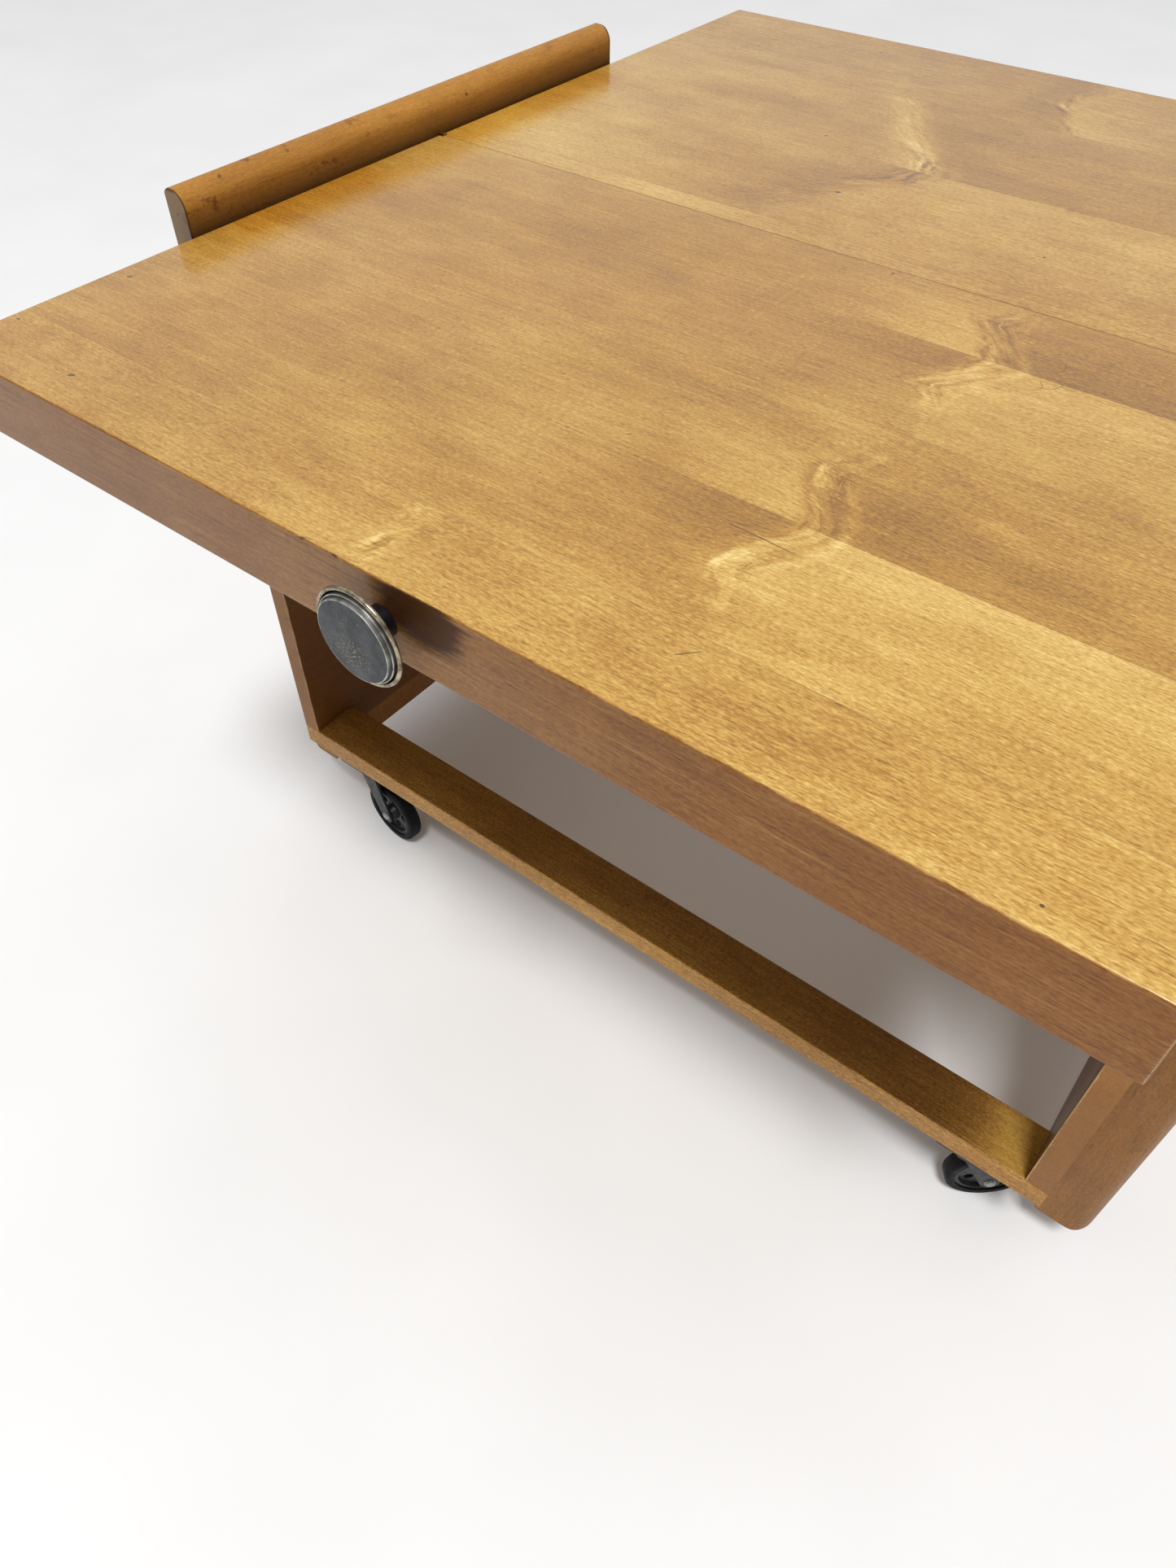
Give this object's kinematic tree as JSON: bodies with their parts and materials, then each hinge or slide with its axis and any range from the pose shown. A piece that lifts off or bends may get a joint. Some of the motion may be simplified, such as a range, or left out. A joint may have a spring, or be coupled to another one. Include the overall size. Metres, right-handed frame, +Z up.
{
  "type": "rolling fold-over plank table",
  "caption": "Rolling table with a thick plank top whose hinged far leaf folds over the near leaf, both sliding on a panel base with swivel casters and pulled by a round knob.",
  "frame": {"origin": "on the floor, under the middle of the opened table's box", "axes": "+X along the table's length, -Y towards the side with the knob, +Z up"},
  "size_m": [1.056, 1.094, 0.777],
  "materials": {
    "top_wood": "satin lacquer over pale figured planks",
    "panel_wood": "satin lacquer, slightly darker",
    "cheek_wood": "satin lacquer, edges rubbed",
    "rail_wood": "satin lacquer, edges rubbed",
    "hidden_wood": "plain sanded hardwood",
    "zinc_steel": "dull zinc plate",
    "hinge_brass": "aged satin brass",
    "pin_steel": "polished steel",
    "knob_bronze": "aged bronze with a polished rim",
    "knob_pewter": "dark worn pewter",
    "knob_black": "black satin enamel",
    "fork_steel": "dark grey satin paint",
    "wheel_hub": "matte dark grey",
    "wheel_tyre": "matte black rubber"
  },
  "bodies": {
    "base": {"end_panel_left": "panel_wood", "end_panel_right": "panel_wood", "outer_cheek_left": "cheek_wood", "outer_cheek_right": "cheek_wood", "bottom_rail_front": "rail_wood", "bottom_rail_rear": "rail_wood", "upper_stretcher_front": "hidden_wood", "upper_stretcher_rear": "hidden_wood", "side_bearer_left": "hidden_wood", "side_bearer_right": "hidden_wood", "slide_guide_left": "hidden_wood", "slide_guide_right": "hidden_wood", "guide_stops": "hidden_wood", "rail_screws": "zinc_steel", "caster_plate_front_left": "fork_steel", "caster_plate_front_right": "fork_steel", "caster_plate_rear_left": "fork_steel", "caster_plate_rear_right": "fork_steel", "caster_screws": "zinc_steel"},
    "near_leaf": {"near_leaf_plank_1": "top_wood", "near_leaf_plank_2": "top_wood", "near_leaf_plank_3": "top_wood", "near_leaf_plank_4": "top_wood", "near_leaf_plank_5": "top_wood", "slide_runner_left": "hidden_wood", "slide_runner_right": "hidden_wood", "runner_screws": "zinc_steel", "near_hinge_plate_left": "hinge_brass", "near_hinge_plate_right": "hinge_brass", "hinge_pin_left": "pin_steel", "hinge_pin_right": "pin_steel", "near_hinge_screws": "zinc_steel", "knob_flange": "knob_bronze", "knob_face": "knob_pewter", "knob_stem": "knob_black", "knob_bolt": "zinc_steel"},
    "far_leaf": {"far_leaf_plank_1": "top_wood", "far_leaf_plank_2": "top_wood", "far_leaf_plank_3": "top_wood", "far_leaf_plank_4": "top_wood", "far_hinge_plate_left": "hinge_brass", "far_hinge_plate_right": "hinge_brass", "far_hinge_screws": "zinc_steel"},
    "caster_front_left": {"caster_fork_front_left": "fork_steel", "caster_axle_front_left": "zinc_steel"},
    "wheel_front_left": {"caster_hub_front_left": "wheel_hub", "caster_tyre_front_left": "wheel_tyre"},
    "caster_front_right": {"caster_fork_front_right": "fork_steel", "caster_axle_front_right": "zinc_steel"},
    "wheel_front_right": {"caster_hub_front_right": "wheel_hub", "caster_tyre_front_right": "wheel_tyre"},
    "caster_rear_left": {"caster_fork_rear_left": "fork_steel", "caster_axle_rear_left": "zinc_steel"},
    "wheel_rear_left": {"caster_hub_rear_left": "wheel_hub", "caster_tyre_rear_left": "wheel_tyre"},
    "caster_rear_right": {"caster_fork_rear_right": "fork_steel", "caster_axle_rear_right": "zinc_steel"},
    "wheel_rear_right": {"caster_hub_rear_right": "wheel_hub", "caster_tyre_rear_right": "wheel_tyre"}
  },
  "joints": [
    {"name": "top_slide", "type": "slide", "parent": "base", "child": "near_leaf", "axis": [0, 1, 0], "range_m": [0, 0.255]},
    {"name": "far_leaf_fold", "type": "hinge", "parent": "near_leaf", "child": "far_leaf", "pos_m": [0, 0.013, 0.7424], "axis": [1, 0, 0], "range_deg": [0, 180]},
    {"name": "swivel_front_left", "type": "hinge", "parent": "base", "child": "caster_front_left", "pos_m": [-0.403, -0.2605, 0.115], "axis": [0, 0, 1], "continuous": true},
    {"name": "roll_front_left", "type": "hinge", "parent": "caster_front_left", "child": "wheel_front_left", "pos_m": [-0.37121, -0.26412, 0.042], "axis": [0.1132, 0.9936, 0], "continuous": true},
    {"name": "swivel_front_right", "type": "hinge", "parent": "base", "child": "caster_front_right", "pos_m": [0.403, -0.2605, 0.115], "axis": [0, 0, 1], "continuous": true},
    {"name": "roll_front_right", "type": "hinge", "parent": "caster_front_right", "child": "wheel_front_right", "pos_m": [0.42822, -0.2408, 0.042], "axis": [-0.6157, 0.788, 0], "continuous": true},
    {"name": "swivel_rear_left", "type": "hinge", "parent": "base", "child": "caster_rear_left", "pos_m": [-0.403, 0.2605, 0.115], "axis": [0, 0, 1], "continuous": true},
    {"name": "roll_rear_left", "type": "hinge", "parent": "caster_rear_left", "child": "wheel_rear_left", "pos_m": [-0.37529, 0.2765, 0.042], "axis": [-0.5, 0.866, 0], "continuous": true},
    {"name": "swivel_rear_right", "type": "hinge", "parent": "base", "child": "caster_rear_right", "pos_m": [0.403, 0.2605, 0.115], "axis": [0, 0, 1], "continuous": true},
    {"name": "roll_rear_right", "type": "hinge", "parent": "caster_rear_right", "child": "wheel_rear_right", "pos_m": [0.4343, 0.25385, 0.042], "axis": [0.2079, 0.9781, 0], "continuous": true}
  ]
}
